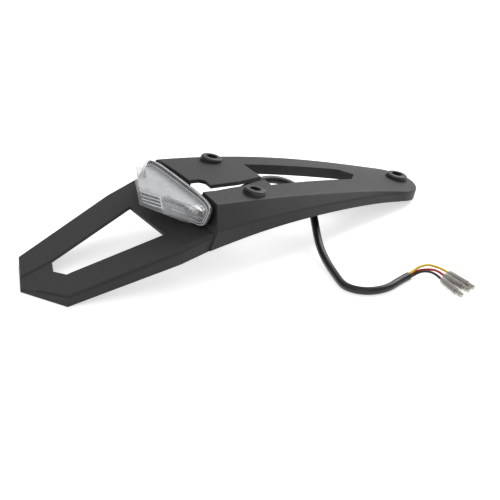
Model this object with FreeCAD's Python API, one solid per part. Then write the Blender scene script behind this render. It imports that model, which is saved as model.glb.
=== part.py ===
"""Rear fender extension: a moulded arched bracket with a tail frame, a rear lamp and its lead.

Millimetres. +X points to the nose, +Z up, and the part stands on its tail end and its nose.
The origin is under the middle of the bracket, on the surface that it stands on.
"""
import FreeCAD, Part
import math
import os
from FreeCAD import Placement, Rotation, Vector

X_AXIS = Vector(1, 0, 0)
Y_AXIS = Vector(0, 1, 0)
Z_AXIS = Vector(0, 0, 1)

# Bracket: overall
overall_length = 338.0
wall = 3.0
edge_round = 1.8
reach = 200.0

# Bracket: arched front, with its roof, sloping shoulders and skirt
roof_height = 51.1
roof_slope = 0.168
roof_radius = 920.0
roof_crown = 1.8
roof_half_rear = 44.6
roof_half_nose = 23.7
roof_bulge = 3.3
skirt_half_rear = 57.3
skirt_half_nose = 24.5
skirt_bulge = 4.0
skirt_height = 28.4
shoulder_drop_rear = 15.4
shoulder_drop_nose = 2.0
shoulder_hollow = 1.7
nose_radius = 25.2
nose_round = 3.0
nose_cover = 0.05
section_count = 6
section_overrun_rear = 22.0
section_overrun_nose = 6.0
inner_round = 0.4

# Bracket: rear wall that carries the lamp
rear_wall_x = -28.7
rear_wall_lean = 26.0

# Bracket: nose window, cable notch and the slit that joins them
nose_window_rear = 32.0
nose_window_front = 109.0
nose_window_tip = 117.0
nose_window_half_rear = 20.5
nose_window_half_front = 9.6
nose_window_lip = 6.5
notch_depth = 12.5
notch_drop = 17.0
notch_far = -2.0
notch_near = -23.5
notch_chamfer = 3.5
slit_bend = 2.0
slit_width_front = 5.0
slit_far_rear = -14.0
slit_far_front = -5.0

# Bracket: tail frame
tail_slope = 15.0
tail_height = 31.9
tail_corner_x = -150.3
tail_corner_half = 38.6
tail_side_x = -66.0
tail_side_half = 55.8
tail_front_half = 57.2
tail_setback = 7.0
tail_level = 9.5
tail_round = 2.6
tail_window_front = -62.4
tail_window_rear = -135.8
tail_window_tip = -141.4
tail_window_half_front = 26.7
tail_window_half_rear = 12.8
tail_plate = 2.4
end_groove_half = 12.0
end_groove_depth = 1.0

# Mounting grommets
grommet_lean = 14.5
grommet_rear_x = 10.6
grommet_rear_y = 32.3
grommet_nose_x = 155.4
grommet_bore = 8.4
grommet_neck = 11.0
grommet_flange = 16.4
grommet_flange_height = 2.6
grommet_foot = 14.6
grommet_foot_height = 1.8
grommet_fit = 0.1
seat_radius = 8.6
seat_rise = 0.9
seat_depth = 4.2

# Rear lamp
lamp_rim_height = 48.4
lamp_half_length = 48.5
lamp_half_height = 10.8
lamp_squareness = 4.4
housing_depth = 4.2
housing_taper = 2.6
housing_floor = 1.8
housing_rim = 3.4
seal_thickness = 0.7
lens_flange = 2.6
lens_flange_height = 1.6
lens_wall = 1.8
lens_climb = 11.0
lens_top_reach = 33.0
lens_top_rise = 14.8
lens_prow_reach = 31.0
lens_prow_drop = 2.6
lens_plan_squareness = 2.4
facet_ridge_y = 42.0
facet_ridge_reach = 13.5
facet_ridge_rise = 9.1
facet_end_y = 45.0
facet_end_reach = 4.5
reflector_gap = 0.6
reflector_wall = 1.1
reflector_mouth = 6.0
louvre_count = 5
louvre_pitch = 3.0
louvre_first = -1.0
louvre_half = 17.0
louvre_thickness = 0.9
louvre_depth = 8.0
divider_thickness = 1.4
board_thickness = 1.6
board_gap = 0.4
led_diameter = 4.0
led_height = 5.2
led_first = 20.0
led_pitch = 6.0
led_row_gap = 4.7
led_columns = 3

# Lamp fixings
screw_y = 39.5
screw_diameter = 4.0
screw_length = 9.0
screw_head_diameter = 7.6
screw_head_height = 2.4
screw_fit = 0.2
washer_diameter = 9.0
washer_thickness = 0.8
post_diameter = 6.4
post_height = 6.6

# Lead: gland, cable, wires and bullet terminals
cable_diameter = 6.0
cable_lead_in = 9.0
gland_y = -11.5
gland_diameter = 9.4
gland_tip_diameter = 7.6
gland_length = 9.0
gland_collar_diameter = 12.0
gland_collar_height = 1.6
wire_diameter = 1.9
wire_lead_in = 3.2
sleeve_diameter = 4.8
sleeve_length = 21.0
terminal_diameter = 3.9
terminal_length = 27.0
terminal_inset = 2.0
terminal_bullet = 3.2
terminal_waist = 0.6
terminal_tip = 1.0
sleeve_round = 0.8

# Cable points from the run out of the gland to the end of the sheath
CABLE_POINTS = [
    (0.0, -8.6, 37.6),
    (13.0, -4.0, 38.0),
    (25.5, 0.8, 38.8),
    (38.5, 3.6, 39.2),
    (51.0, 2.6, 36.8),
    (61.5, -3.0, 32.2),
    (66.4, -13.5, 25.6),
    (65.0, -26.0, 18.8),
    (59.8, -38.5, 13.4),
    (54.0, -51.5, 9.2),
    (49.0, -65.5, 5.8),
    (44.7, -81.5, 3.8),
    (40.8, -99.0, 3.0),
    (37.4, -114.0, 3.0),
    (39.6, -123.4, 3.0),
    (45.6, -130.8, 3.0),
    (54.2, -134.8, 3.0),
    (65.0, -134.8, 3.0),
    (77.5, -129.4, 3.0),
    (86.5, -126.6, 3.0),
]
# Each wire's place in the sheath's end, across and up
WIRE_STARTS = {"yellow": (0.3, 1.5), "red": (1.2, -0.95), "black": (-1.45, -0.5)}
# Each wire's own points between the sheath and its terminal
WIRE_POINTS = {
    "yellow": [(98.0, -124.1, 6.9), (105.0, -125.0, 6.9), (110.3, -127.9, 4.9), (113.8, -131.1, 3.2)],
    "red": [(94.2, -124.1, 3.5), (99.6, -125.4, 4.3), (104.5, -127.9, 4.4), (108.3, -131.2, 3.9)],
    "black": [(95.2, -126.9, 3.9), (100.2, -128.3, 4.2), (103.8, -131.6, 3.7), (105.3, -135.9, 2.9)],
}
# Each terminal's start on the ground, and its heading in degrees
TERMINALS = {
    "yellow": ((115.4, -137.2), -84.7),
    "red": ((110.3, -138.8), -84.7),
    "black": ((105.2, -143.4), -93.0),
}

# Worked out from the sizes above
nose_x = overall_length / 2
tail_x = -overall_length / 2
nose_slope = math.atan(roof_slope + (nose_x - nose_radius) / roof_radius)
nose_reach = (nose_radius - nose_round) * math.cos(nose_slope) + nose_round
nose_centre_x = nose_x - nose_reach - (nose_cover - nose_round) * math.sin(nose_slope)


def roof_z(x):
    """Height of the roof's side edge at a place along the bracket."""
    return roof_height - roof_slope * x - x * x / (2 * roof_radius)


def along(x, rear, nose, bulge):
    """A size that runs from the rear wall to the nose with a bulge between them."""
    share = (x - rear_wall_x) / (nose_centre_x - rear_wall_x)
    share = min(share, 1.0)
    return rear + (nose - rear) * share + bulge * 4 * share * (1 - share)


def roof_half(x):
    """Half the roof's width."""
    return max(along(x, roof_half_rear, roof_half_nose, roof_bulge), roof_half_nose)


def skirt_half(x):
    """Half the width at the skirt."""
    return max(along(x, skirt_half_rear, skirt_half_nose, skirt_bulge), skirt_half_nose)


def shoulder_z(x):
    """Height of the crease between shoulder and skirt."""
    return roof_z(x) - along(x, shoulder_drop_rear, shoulder_drop_nose, -shoulder_hollow)


def nose_foot_x():
    """Where the leaning wall round the nose meets the ground."""
    seat = crown_z(nose_centre_x, 0)
    tip = seat - nose_radius * math.sin(nose_slope)
    return nose_centre_x + nose_radius * math.cos(nose_slope) - tip * math.tan(nose_slope)


def skirt_z(x):
    """Height of the skirt's lower edge, which touches down at the nose."""
    return skirt_height * (1 - (x / nose_foot_x()) ** 2)


def crown_z(x, y):
    """Height of the crowned roof at any point of it."""
    return roof_z(x) + roof_crown * (1 - (y / roof_half(x)) ** 2)


def tail_z(x):
    """Height of the tail frame's upper face."""
    return tail_height + math.tan(math.radians(tail_slope)) * (x - tail_window_front)


def line(a, b):
    """A straight edge."""
    return Part.LineSegment(a, b).toShape()


def polygon_face(points):
    """A flat face inside a closed run of straight edges."""
    return Part.Face(Part.makePolygon(list(points) + [points[0]]))


def plan_prism(points, bottom=-20.0, top=100.0):
    """An upright prism over an outline given as (x, y) points."""
    face = polygon_face([Vector(x, y, bottom) for x, y in points])
    return face.extrude(Vector(0, 0, top - bottom))


def side_prism(points, half):
    """A prism across the bracket over an outline given as (x, z) points."""
    face = polygon_face([Vector(x, -half, z) for x, z in points])
    return face.extrude(Vector(0, 2 * half, 0))


def grown(points, by):
    """The (x, y) corners of an outline moved outwards by a distance."""
    wire = Part.makePolygon([Vector(x, y, 0) for x, y in points] + [Vector(*points[0], 0)])
    offset = wire.makeOffset2D(by, 2)
    return [(v.Point.x, v.Point.y) for v in offset.OrderedVertexes]


def mirrored(points):
    """An outline completed with its mirror image across the bracket's middle."""
    return points + [(x, -y) for x, y in reversed(points) if abs(y) > 1e-6]


def half_space(point, normal):
    """A large block whose face lies at the point and that fills the side the normal points to."""
    block = Part.makeBox(2 * reach, 2 * reach, 2 * reach, Vector(-reach, -reach, 0))
    block.Placement = Placement(point, Rotation(Z_AXIS, normal))
    return block


def rounded_section(corners, radii):
    """Edges along open corner points, with an arc at each inner corner."""
    edges = []
    start = corners[0]
    for before, corner, after, radius in zip(corners, corners[1:], corners[2:], radii):
        into = (before - corner).normalize()
        out = (after - corner).normalize()
        half_angle = into.getAngle(out) / 2
        trim = radius / math.tan(half_angle)
        bisector = (into + out).normalize()
        middle = corner + bisector * (radius / math.sin(half_angle) - radius)
        first = corner + into * trim
        last = corner + out * trim
        edges.append(line(start, first))
        edges.append(Part.Arc(first, middle, last).toShape())
        start = last
    return edges, start


def front_section(x, inset, below):
    """One closed cross-section of the arched front, drawn inside the outer skin by the inset."""
    roof = roof_z(x) - inset
    shoulder = shoulder_z(x) - 0.7 * inset
    roof_y = roof_half(x) - 0.9 * inset
    skirt_y = skirt_half(x) - inset
    foot = skirt_z(x) - below
    radius = inner_round if inset > 0 else edge_round
    sides = []
    for sign in (-1, 1):
        corners = [
            Vector(x, sign * skirt_y, foot),
            Vector(x, sign * skirt_y, shoulder),
            Vector(x, sign * roof_y, roof),
            Vector(x, 0, roof + 2 * roof_crown),
        ]
        sides.append(rounded_section(corners, (radius, radius)))
    (left, left_end), (right, right_end) = sides
    crown = Part.Arc(left_end, Vector(x, 0, roof + roof_crown), right_end).toShape()
    floor = line(Vector(x, skirt_y, foot), Vector(x, -skirt_y, foot))
    return Part.Wire(left + [crown] + list(reversed(right)) + [floor])


def nose_trimmer(inset):
    """What is cut away ahead of the rounded nose, square to the roof there."""
    radius = nose_radius - inset
    if inset > 0:
        core = cylinder(radius, -reach, reach)
    else:
        core = cylinder(radius, -reach, nose_cover)
        rim = [e for e in core.Edges if e.BoundBox.ZMin > 0 and e.BoundBox.ZLength < 0.01]
        core = core.makeFillet(nose_round, rim)
    block = Part.makeBox(reach, 2 * reach, 2 * reach, Vector(0, -reach, -reach)).cut(core)
    seat = Vector(nose_centre_x, 0, crown_z(nose_centre_x, 0))
    return placed(block, Placement(seat, Rotation(Y_AXIS, math.degrees(nose_slope))))


def rear_wall_point(inset=0.0):
    """A point on the rear wall's face, or on its inner face."""
    lean = math.radians(rear_wall_lean)
    top = Vector(rear_wall_x, 0, roof_z(rear_wall_x))
    return top + Vector(math.cos(lean), 0, -math.sin(lean)) * inset


def rear_wall_normal():
    """The way that the rear wall faces, backwards and up."""
    lean = math.radians(rear_wall_lean)
    return Vector(-math.cos(lean), 0, math.sin(lean))


def front_solid(inset, below):
    """The arched front as a full solid, inside the outer skin by the inset."""
    first = rear_wall_x - section_overrun_rear
    last = nose_x + section_overrun_nose
    stations = [first + (last - first) * i / (section_count - 1) for i in range(section_count)]
    solid = Part.makeLoft([front_section(x, inset, below) for x in stations], True, False)
    solid = solid.cut(nose_trimmer(inset))
    return solid.cut(half_space(rear_wall_point(inset), rear_wall_normal()))


def nose_window_outline():
    """Plan outline of the window between the two rails."""
    return mirrored([
        (nose_window_rear, nose_window_half_rear),
        (nose_window_front, nose_window_half_front),
        (nose_window_tip, 0.0),
    ])


def nose_window_lips(outer):
    """The down-turned lips along the window's sides."""
    inside = grown(nose_window_outline(), wall)
    count = 12
    run = nose_window_tip + 2 * wall - nose_window_rear
    xs = [nose_window_rear + run * i / count for i in range(count + 1)]
    band = [(x, roof_z(x) - nose_window_lip) for x in xs]
    band = band + [(xs[-1], 2 * roof_height), (xs[0], 2 * roof_height)]
    return plan_prism(inside).common(side_prism(band, reach)).common(outer)


def cable_cuts():
    """The notch behind the lamp, and the slit from it to the nose window."""
    front = rear_wall_x + notch_depth
    notch = plan_prism([
        (rear_wall_x - notch_drop, notch_far),
        (front - notch_chamfer, notch_far),
        (front, notch_far - notch_chamfer),
        (front, notch_near),
        (rear_wall_x - notch_drop, notch_near),
    ], roof_z(rear_wall_x) - notch_drop)
    middle = (front + nose_window_rear) / 2
    slit = plan_prism([
        (front - 1.0, slit_far_rear),
        (middle, slit_far_rear + slit_bend),
        (nose_window_rear + 1.0, slit_far_front),
        (nose_window_rear + 1.0, slit_far_front - slit_width_front),
        (middle, notch_near + 2 * slit_bend),
        (front - 1.0, notch_near),
    ], roof_z(nose_window_rear) - 2 * wall)
    return notch.fuse(slit)


def arched_front():
    """The hollow front of the moulding, with its window, lips, notch and slit."""
    outer = front_solid(0.0, 0.0)
    shell = outer.cut(front_solid(wall, 3 * wall))
    shell = shell.fuse(nose_window_lips(outer))
    return shell.cut(plan_prism(nose_window_outline())).cut(cable_cuts())


def tail_outline():
    """Plan outline of the tail frame."""
    return mirrored([
        (rear_wall_x - tail_setback, tail_front_half),
        (rear_wall_x - tail_level, tail_front_half),
        (tail_side_x, tail_side_half),
        (tail_corner_x, tail_corner_half),
        (tail_x, 0.0),
    ])


def tail_window_outline():
    """Plan outline of the tail frame's window."""
    return mirrored([
        (tail_window_front, tail_window_half_front),
        (tail_window_rear, tail_window_half_rear),
        (tail_window_tip, 0.0),
    ])


def tail_profile():
    """Side outline of the tail frame."""
    front_x = rear_wall_x
    return [
        (tail_x - wall, tail_z(tail_x - wall)),
        (front_x, tail_z(front_x)),
        (front_x, skirt_z(front_x)),
        (rear_wall_x - tail_level, skirt_z(rear_wall_x - tail_level)),
        (tail_corner_x, 0.0),
        (tail_x - wall, 0.0),
    ]


def tail_frame():
    """The hollow tail frame, with rounded upper edges, a window and a shallow end groove."""
    outer = plan_prism(tail_outline()).common(side_prism(tail_profile(), reach))
    rounded = []
    for edge in outer.Edges:
        ends = [v.Point for v in edge.Vertexes]
        on_top = all(abs(p.z - tail_z(p.x)) < 0.01 for p in ends)
        at_front = all(p.x > rear_wall_x - tail_setback - 0.01 for p in ends)
        if on_top and not at_front:
            rounded.append(edge)
    outer = outer.makeFillet(tail_round, rounded)
    hollow = plan_prism(grown(tail_outline(), -wall))
    under = side_prism([
        (tail_x - wall, tail_z(tail_x - wall) - tail_plate),
        (rear_wall_x, tail_z(rear_wall_x) - tail_plate),
        (rear_wall_x, -reach / 4),
        (tail_x - wall, -reach / 4),
    ], reach)
    frame = outer.cut(hollow.common(under)).cut(plan_prism(tail_window_outline()))
    return frame.cut(end_groove()).cut(half_space(rear_wall_point(wall / 2), rear_wall_normal() * -1))


def end_groove():
    """A shallow flat channel in the upper face of the end bar."""
    top = end_groove_half + end_groove_depth
    slope = math.radians(tail_slope)
    face = polygon_face([
        Vector(0, -end_groove_half, -end_groove_depth),
        Vector(0, end_groove_half, -end_groove_depth),
        Vector(0, top + 1.0, 1.0),
        Vector(0, -top - 1.0, 1.0),
    ])
    length = 2 * (tail_window_rear - tail_x)
    groove = face.extrude(Vector(length, 0, 0))
    groove.Placement = Placement(
        Vector(tail_x, 0, tail_z(tail_x)) - Vector(math.cos(slope), 0, math.sin(slope)) * length / 4,
        Rotation(Y_AXIS, -tail_slope),
    )
    return groove


def grommet_places():
    """Name and frame of each grommet, with its local Z along the leaning bore."""
    places = {
        "grommet_left": (grommet_rear_x, grommet_rear_y),
        "grommet_right": (grommet_rear_x, -grommet_rear_y),
        "grommet_front": (grommet_nose_x, 0.0),
    }
    lean = Rotation(Y_AXIS, grommet_lean)
    return {name: Placement(Vector(x, y, crown_z(x, y)), lean) for name, (x, y) in places.items()}


def cylinder(radius, low, high):
    """An upright cylinder between two heights."""
    return Part.makeCylinder(radius, high - low, Vector(0, 0, low))


def placed(shape, place):
    """The shape moved from its local frame to its place."""
    moved = shape.copy()
    moved.Placement = place.multiply(shape.Placement)
    return moved


def grommet():
    """One rubber grommet: rounded upper flange, neck and foot, round a plain bore."""
    upper = seat_rise + grommet_flange_height
    flange = cylinder(grommet_flange / 2, seat_rise, upper)
    rims = [e for e in flange.Edges if abs(e.BoundBox.ZMin - upper) < 0.01 and e.BoundBox.ZLength < 0.01]
    flange = flange.makeFillet(0.6 * grommet_flange_height, rims)
    neck = cylinder(grommet_neck / 2, -seat_depth, seat_rise)
    foot = cylinder(grommet_foot / 2, -seat_depth - grommet_foot_height, -seat_depth)
    body = flange.fuse([neck, foot])
    bore = cylinder(grommet_bore / 2, -seat_depth - 2 * grommet_foot_height, 2 * upper)
    return body.cut(bore).removeSplitter()


def wall_frame():
    """Frame of the lamp: local Z out of the rear wall, X up it and Y across."""
    normal = rear_wall_normal()
    lean = math.radians(rear_wall_lean)
    up = Vector(math.sin(lean), 0, math.cos(lean))
    base = rear_wall_point()
    seat = housing_depth + seal_thickness
    climb = (lamp_rim_height - base.z - normal.z * seat) / up.z
    return Placement(base + up * climb, Rotation(Y_AXIS, rear_wall_lean - 90))


def rim_wire(inset, height):
    """The lamp's rounded outline in its own frame, at a height above the rear wall."""
    half_y = lamp_half_length - inset
    half_x = lamp_half_height - inset
    power = 2 / lamp_squareness
    points = []
    steps = 32
    for i in range(steps):
        angle = 2 * math.pi * (i + 0.5) / steps
        c, s = math.cos(angle), math.sin(angle)
        points.append(Vector(
            half_x * math.copysign(abs(c) ** power, c),
            half_y * math.copysign(abs(s) ** power, s),
            height,
        ))
    curve = Part.BSplineCurve()
    curve.interpolate(points, PeriodicFlag=True)
    return Part.Wire(curve.toShape())


def rim_prism(inset, low, high):
    """A straight prism over the lamp's outline."""
    return Part.Face(rim_wire(inset, low)).extrude(Vector(0, 0, high - low))


def lamp_points():
    """Rim centre, top edge and prow of the lens, in the bracket's own frame."""
    centre = wall_frame().multVec(Vector(0, 0, housing_depth + seal_thickness))
    top = centre + Vector(-lens_top_reach, 0, lens_top_rise)
    prow = centre + Vector(-lens_prow_reach, 0, -lens_prow_drop)
    return centre, top, prow


def facet_plane(side):
    """A point and outward normal of the flat facet on one side of the prow."""
    centre, top, prow = lamp_points()
    ridge = centre + Vector(-facet_ridge_reach, side * facet_ridge_y, facet_ridge_rise)
    foot = wall_frame().multVec(Vector(-lamp_half_height, side * facet_end_y, housing_depth))
    foot = foot + Vector(-facet_end_reach, 0, 0)
    normal = (ridge - prow).cross(foot - prow).normalize()
    if normal.x > 0:
        normal = normal * -1
    return prow, normal


def lens_solid(inset):
    """The lens as a full solid, inside its outer skin by the inset."""
    frame = wall_frame()
    centre, top, prow = lamp_points()
    rim = Part.Face(rim_wire(lens_flange + inset, housing_depth))
    rim.Placement = frame
    climb = math.radians(lens_climb)
    run = Vector(-math.cos(climb), 0, math.sin(climb))
    rim.translate(run * -2 * housing_depth)
    body = rim.extrude(run * 2 * lens_top_reach)
    rim_top = frame.multVec(Vector(lamp_half_height - lens_flange, 0, housing_depth))
    rim_foot = frame.multVec(Vector(lens_flange - lamp_half_height, 0, housing_depth))
    ahead_top = rim_top + (rim_top - top) * 0.8
    ahead_foot = rim_foot + (rim_foot - prow) * 0.8
    wire = Part.makePolygon([ahead_top, top, prow, ahead_foot, ahead_top])
    if inset > 0:
        wire = wire.makeOffset2D(-inset, 2)
    side = Part.Face(wire)
    side.translate(Y_AXIS * -reach)
    body = body.common(side.extrude(Y_AXIS * 2 * reach))
    power = 2 / lens_plan_squareness
    half_y = lamp_half_length - inset
    depth = lens_top_reach - inset
    steps = 16
    points = []
    for i in range(steps + 1):
        angle = math.pi * i / steps
        across = math.copysign(abs(math.cos(angle)) ** power, math.cos(angle))
        points.append(Vector(centre.x - depth * math.sin(angle) ** power, half_y * across, -20))
    bow = Part.BSplineCurve()
    bow.interpolate(points)
    corners = [points[-1], Vector(reach, -half_y, -20), Vector(reach, half_y, -20), points[0]]
    edges = [bow.toShape()] + [line(a, b) for a, b in zip(corners, corners[1:])]
    plan = Part.Face(Part.Wire(edges)).extrude(Z_AXIS * 2 * reach)
    body = body.common(plan)
    for side_sign in (-1, 1):
        point, normal = facet_plane(side_sign)
        body = body.cut(half_space(point - normal * inset, normal))
    return body


def above(height):
    """The space in front of a level of the lamp's own frame."""
    frame = wall_frame()
    return half_space(frame.multVec(Vector(0, 0, height)), rear_wall_normal())


def lamp_lens():
    """Clear lens: a thin faceted cover with a flange that sits on the seal."""
    seat = housing_depth + seal_thickness
    flange = rim_prism(0.0, seat, seat + lens_flange_height)
    flange = placed(flange, wall_frame())
    cover = lens_solid(0.0).common(above(seat))
    return flange.fuse(cover).cut(lens_solid(lens_wall)).removeSplitter()


def lamp_reflector():
    """Bright reflector: an open shell on the housing's rim, with louvres between two dividers."""
    outer_inset = lens_wall + reflector_gap
    outer = lens_solid(outer_inset)
    shell = outer.cut(lens_solid(outer_inset + reflector_wall))
    mouth = outer
    deep = outer
    for side in (-1, 1):
        point, normal = facet_plane(side)
        inner_point = point - normal * (outer_inset + reflector_mouth)
        mouth = mouth.cut(half_space(inner_point, normal))
        deep = deep.cut(half_space(point - normal * (outer_inset + louvre_depth), normal))
    shell = shell.common(mouth)
    bars = outer.cut(deep)
    centre = lamp_points()[0]
    louvres = []
    for i in range(louvre_count):
        low = centre.z + louvre_first + louvre_pitch * i
        slab = Part.makeBox(2 * reach, 2 * louvre_half, louvre_thickness, Vector(-reach, -louvre_half, low))
        louvres.append(slab.common(bars))
    for y in (-louvre_half, louvre_half - divider_thickness):
        plate = Part.makeBox(2 * reach, divider_thickness, reach, Vector(-reach, y, 0))
        louvres.append(plate.common(outer))
    whole = shell.fuse(louvres)
    openings = [(post_diameter / 2, spot) for spot in screw_spots()]
    openings += [(led_diameter / 2, Vector(x, y, 0)) for x, y in led_spots()]
    for radius, spot in openings:
        hole = cylinder(radius + board_gap, 0.0, screw_length)
        hole.translate(spot)
        whole = whole.cut(placed(hole, wall_frame()))
    whole = whole.common(above(housing_depth)).removeSplitter()
    return max(whole.Solids, key=lambda solid: solid.Volume)


def screw_spots():
    """Places of the lamp's two screws on the rear wall, in the lamp's own frame."""
    return [Vector(0, y, 0) for y in (-screw_y, screw_y)]


def lamp_housing():
    """Black base of the lamp: a tapered tray with two screw posts and the cable's hole."""
    body = Part.makeLoft([rim_wire(housing_taper, 0.0), rim_wire(0.0, housing_depth)], True, True)
    body = body.cut(rim_prism(housing_rim + housing_taper, housing_floor, 2 * housing_depth))
    for spot in screw_spots():
        post = cylinder(post_diameter / 2, housing_floor / 2, post_height)
        post.translate(spot)
        hole = cylinder(screw_diameter / 2 + screw_fit / 4, -1.0, screw_length - wall)
        hole.translate(spot)
        body = body.fuse(post).cut(hole)
    return placed(body.removeSplitter(), wall_frame())


def lamp_seal():
    """Flat gasket between the lens and its housing."""
    ring = rim_prism(0.2, housing_depth, housing_depth + seal_thickness)
    ring = ring.cut(rim_prism(housing_rim, 0.0, 2 * housing_depth))
    return placed(ring, wall_frame())


def lamp_board():
    """Circuit board on the housing's floor, cut away round the screw posts."""
    board = rim_prism(housing_rim + housing_taper + board_gap, housing_floor, housing_floor + board_thickness)
    for spot in screw_spots():
        hole = cylinder(post_diameter / 2 + board_gap, 0.0, 2 * housing_depth)
        hole.translate(spot)
        board = board.cut(hole)
    return placed(board, wall_frame())


def led_spots():
    """Places of the lamp's light sources on the board, in the lamp's own frame."""
    spots = []
    for side in (-1, 1):
        for row in (-0.5, 0.5):
            for column in range(led_columns):
                spots.append((row * led_row_gap, side * (led_first + column * led_pitch)))
    return spots


def lamp_leds():
    """Domed light sources in two rows."""
    radius = led_diameter / 2
    base = housing_floor + board_thickness
    dome_base = base + led_height - radius
    single = cylinder(radius, base, dome_base)
    dome = Part.makeSphere(radius, Vector(0, 0, dome_base), Z_AXIS, 0, 90, 360)
    single = single.fuse(dome).removeSplitter()
    solids = []
    for x, y in led_spots():
        copy = single.copy()
        copy.translate(Vector(x, y, 0))
        solids.append(copy)
    return placed(Part.makeCompound(solids), wall_frame())


def lamp_screws():
    """Two pan-head screws that hold the lamp from inside the bracket."""
    solids = []
    head_seat = -wall - washer_thickness
    for spot in screw_spots():
        head = cylinder(screw_head_diameter / 2, head_seat - screw_head_height, head_seat)
        rim = [e for e in head.Edges if abs(e.BoundBox.ZMax - head_seat + screw_head_height) < 0.01]
        head = head.makeFillet(0.4 * screw_head_height, rim)
        shank = cylinder(screw_diameter / 2, head_seat, screw_length - wall - 1.0)
        screw = head.fuse(shank).removeSplitter()
        screw.translate(spot)
        solids.append(screw)
    return placed(Part.makeCompound(solids), wall_frame())


def lamp_washers():
    """Plain washers under the screw heads."""
    solids = []
    for spot in screw_spots():
        ring = cylinder(washer_diameter / 2, -wall - washer_thickness, -wall)
        ring = ring.cut(cylinder(screw_diameter / 2 + screw_fit, -2 * wall, 0.0))
        ring.translate(spot)
        solids.append(ring)
    return placed(Part.makeCompound(solids), wall_frame())


def cable_gland():
    """Rubber gland on the back of the housing, tapered towards the cable."""
    collar = cylinder(gland_collar_diameter / 2, -gland_collar_height, 0.0)
    stem = Part.makeCone(
        gland_tip_diameter / 2, gland_diameter / 2, gland_length - gland_collar_height,
        Vector(0, 0, -gland_length),
    )
    body = collar.fuse(stem).removeSplitter()
    body.translate(Vector(0, gland_y, 0))
    return placed(body, wall_frame())


def cable_start():
    """Centre of the gland's tip, where the cable begins."""
    return wall_frame().multVec(Vector(0, gland_y, -gland_length))


def tube(name, points, diameter):
    """A round cord along straight runs joined by the largest arcs that they allow."""
    edges = []
    radii = []
    start = points[0]
    for before, corner, after in zip(points, points[1:], points[2:]):
        into = before - corner
        out = after - corner
        trim = 0.45 * min(into.Length, out.Length)
        into.normalize()
        out.normalize()
        turn = math.pi - into.getAngle(out)
        radius = trim / math.tan(turn / 2)
        bisector = (into + out).normalize()
        first = corner + into * trim
        last = corner + out * trim
        middle = corner + bisector * (radius / math.cos(turn / 2) - radius)
        edges.append(line(start, first))
        edges.append(Part.Arc(first, middle, last).toShape())
        radii.append(radius)
        start = last
    edges.append(line(start, points[-1]))
    path = Part.Wire(edges)
    circle = Part.Circle(points[0], points[1] - points[0], diameter / 2).toShape()
    solid = path.makePipeShell([Part.Wire(circle)], True, True)
    expected = math.pi * diameter ** 2 / 4 * path.Length
    print(name, "length %.1f" % path.Length, "volume share %.4f" % (solid.Volume / expected),
          "radii", [round(r, 1) for r in radii])
    return solid


def cable_points():
    """The cable's whole route, from the gland's tip."""
    start = cable_start()
    return [start, start - rear_wall_normal() * cable_lead_in] + [Vector(*p) for p in CABLE_POINTS]


def wire_points(colour):
    """One wire's route, from the sheath's end to its terminal."""
    across, up = WIRE_STARTS[colour]
    end = Vector(*CABLE_POINTS[-1])
    along_end = (end - Vector(*CABLE_POINTS[-2])).normalize()
    sideways = Z_AXIS.cross(along_end)
    start = end + sideways * across + Z_AXIS * up
    lead_in = start + along_end * wire_lead_in
    place = terminal_place(colour)
    lead_out = place.multVec(Vector(0, 0, -wire_lead_in))
    return [start, lead_in] + [Vector(*p) for p in WIRE_POINTS[colour]] + [lead_out, place.Base]


def terminal_place(colour):
    """Frame of one terminal, with its local Z along it and away from the wire."""
    (x, y), heading = TERMINALS[colour]
    turn = math.radians(heading)
    direction = Vector(math.cos(turn), math.sin(turn), 0)
    return Placement(Vector(x, y, sleeve_diameter / 2), Rotation(Z_AXIS, direction))


def bullet_terminal(colour):
    """Crimped bullet terminal, with a waist and a rounded tip."""
    radius = terminal_diameter / 2
    start = terminal_inset
    stop = terminal_inset + terminal_length
    neck = stop - terminal_bullet
    waist = terminal_waist
    profile = [
        Vector(0, 0, start),
        Vector(radius, 0, start),
        Vector(radius, 0, neck - waist),
        Vector(radius - waist, 0, neck),
        Vector(radius - waist, 0, neck + waist),
        Vector(radius, 0, neck + 2 * waist),
        Vector(radius, 0, stop - terminal_tip),
        Vector(radius - terminal_tip, 0, stop),
        Vector(0, 0, stop),
    ]
    solid = polygon_face(profile).revolve(Vector(0, 0, 0), Z_AXIS, 360)
    return placed(solid, terminal_place(colour))


def terminal_sleeve(colour):
    """Soft sleeve over the terminal's crimp, closed at the wire's end."""
    body = cylinder(sleeve_diameter / 2, 0.0, sleeve_length)
    rear = [e for e in body.Edges if e.BoundBox.ZMax < 0.01]
    body = body.makeFillet(sleeve_round, rear)
    body = body.cut(cylinder(terminal_diameter / 2, terminal_inset, 2 * sleeve_length))
    return placed(body, terminal_place(colour))


def fender_extension():
    """The whole moulding: arched front, tail frame, grommet seats and lamp holes."""
    body = arched_front().fuse(tail_frame())
    for place in grommet_places().values():
        body = body.fuse(placed(cylinder(seat_radius, -seat_depth, seat_rise), place))
    for place in grommet_places().values():
        body = body.cut(placed(cylinder(grommet_neck / 2 + grommet_fit, -reach / 8, reach / 8), place))
    for spot in screw_spots():
        hole = cylinder(screw_diameter / 2 + screw_fit, -2 * wall, wall)
        hole.translate(spot)
        body = body.cut(placed(hole, wall_frame()))
    return body.removeSplitter()


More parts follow.
